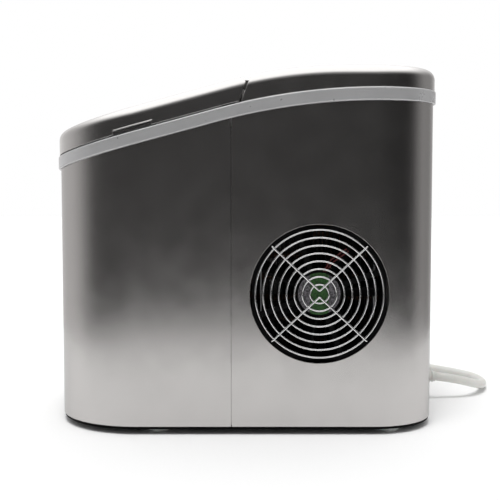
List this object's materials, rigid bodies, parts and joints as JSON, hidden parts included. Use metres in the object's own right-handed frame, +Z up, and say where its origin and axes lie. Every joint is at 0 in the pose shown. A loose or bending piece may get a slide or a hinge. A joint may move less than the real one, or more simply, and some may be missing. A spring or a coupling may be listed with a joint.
{
  "type": "ice maker",
  "caption": "Countertop ice maker: rounded case with sloping hinged lid, round side fan grille, tipping water tray, ice basket, cooling circuit and mains lead.",
  "frame": {"origin": "under the middle of the case, on the surface it stands on", "axes": "-Y front (lid side), +Y back, +X the side with the fan, +Z up"},
  "size_m": [0.3755, 0.4488, 0.3282],
  "materials": {
    "silver_paint": "metallic silver paint, satin",
    "silver_roof": "metallic silver, semi-gloss",
    "band_grey": "semi-gloss",
    "black_plastic": "matte",
    "white_plastic": "gloss",
    "clear_plastic": "clear",
    "grey_rubber": "matte",
    "black_rubber": "matte",
    "steel": "bright",
    "galvanised": "satin",
    "chrome": "bright",
    "nickel": "satin nickel",
    "copper": "bare copper",
    "brass": "satin",
    "aluminium": "mill",
    "black_enamel": "gloss",
    "foam": "closed-cell foam",
    "circuit": "solder mask",
    "label": "satin film",
    "cord_white": "satin",
    "hose": "translucent satin",
    "lead": "satin"
  },
  "bodies": {
    "case": {"base_tray": "black_plastic", "feet": "grey_rubber", "base_screws": "steel", "front_shell": "silver_paint", "rear_shell": "silver_paint", "rear_panel": "silver_paint", "rear_panel_screws": "steel", "rating_plate": "galvanised", "top_frame": "band_grey", "top_cover": "silver_roof", "control_panel": "black_plastic", "indicator_lenses": "clear_plastic", "control_board": "circuit", "inner_tub": "white_plastic", "tank_insulation": "foam", "drain_spout": "white_plastic", "fan_guard": "chrome", "fan_frame": "black_plastic", "fan_label": "label", "fan_leads": "lead", "fan_screws": "steel", "condenser_fins": "aluminium", "condenser_end_plates": "galvanised", "condenser_tube": "copper", "compressor": "black_enamel", "compressor_mounts": "black_rubber", "compressor_terminal_cover": "black_plastic", "suction_pipe": "copper", "discharge_pipe": "copper", "hot_gas_pipe": "copper", "hot_gas_valve": "brass", "liquid_pipe": "copper", "filter_drier": "copper", "capillary_tube": "copper", "evaporator_tube": "nickel", "evaporator_fingers": "nickel", "tray_gearmotor": "black_plastic", "ice_full_sensor": "black_plastic", "water_level_sensor": "white_plastic", "water_pump": "black_plastic", "pump_inlet_hose": "hose", "fill_hose": "hose", "power_board": "circuit", "strain_relief": "cord_white", "power_cord": "cord_white", "cord_coil": "cord_white", "cord_tail": "cord_white", "cord_tie": "black_rubber", "plug": "cord_white"},
    "lid": {"lid_frame": "silver_roof", "lid_window": "clear_plastic", "lid_hinge_pins": "steel"},
    "tray": {"water_tray": "white_plastic"},
    "shovel": {"ice_shovel": "white_plastic"},
    "fan_rotor": {"fan_impeller": "black_plastic"},
    "pump_rotor": {"pump_impeller": "white_plastic"},
    "basket": {"ice_basket": "clear_plastic"},
    "power_button": {"power_button": "silver_roof"},
    "select_button": {"select_button": "silver_roof"},
    "drain_cap": {"drain_cap": "grey_rubber"}
  },
  "joints": [
    {"name": "lid_hinge", "type": "hinge", "parent": "case", "child": "lid", "pos_m": [0, -0.0015, 0.3126], "axis": [-1, 0, 0], "range_deg": [0, 105]},
    {"name": "tray_tip", "type": "hinge", "parent": "case", "child": "tray", "pos_m": [0, -0.006, 0.254], "axis": [1, 0, 0], "range_deg": [0, 90]},
    {"name": "shovel_swing", "type": "hinge", "parent": "case", "child": "shovel", "pos_m": [0, -0.054, 0.262], "axis": [1, 0, 0], "range_deg": [0, 36]},
    {"name": "fan_spin", "type": "hinge", "parent": "case", "child": "fan_rotor", "pos_m": [0.1, 0.0682, 0.1265], "axis": [1, 0, 0], "continuous": true},
    {"name": "pump_spin", "type": "hinge", "parent": "case", "child": "pump_rotor", "pos_m": [0.07, -0.038, 0.04], "axis": [0, 0, 1], "continuous": true},
    {"name": "basket_lift", "type": "slide", "parent": "case", "child": "basket", "axis": [0, 0, 1], "range_m": [0, 0.04]},
    {"name": "power_press", "type": "slide", "parent": "case", "child": "power_button", "axis": [0, 0.0875, -0.9962], "range_m": [0, 0.001], "stiffness_N_per_m": 600},
    {"name": "select_press", "type": "slide", "parent": "case", "child": "select_button", "axis": [0, 0.0875, -0.9962], "range_m": [0, 0.001], "stiffness_N_per_m": 600},
    {"name": "drain_cap_turn", "type": "hinge", "parent": "case", "child": "drain_cap", "pos_m": [0.06, -0.12, 0.008], "axis": [0, 0, 1], "range_deg": [0, 540]}
  ],
  "couplings": [
    {"joint": "shovel_swing", "follows": "tray_tip", "ratio": 0.39}
  ]
}
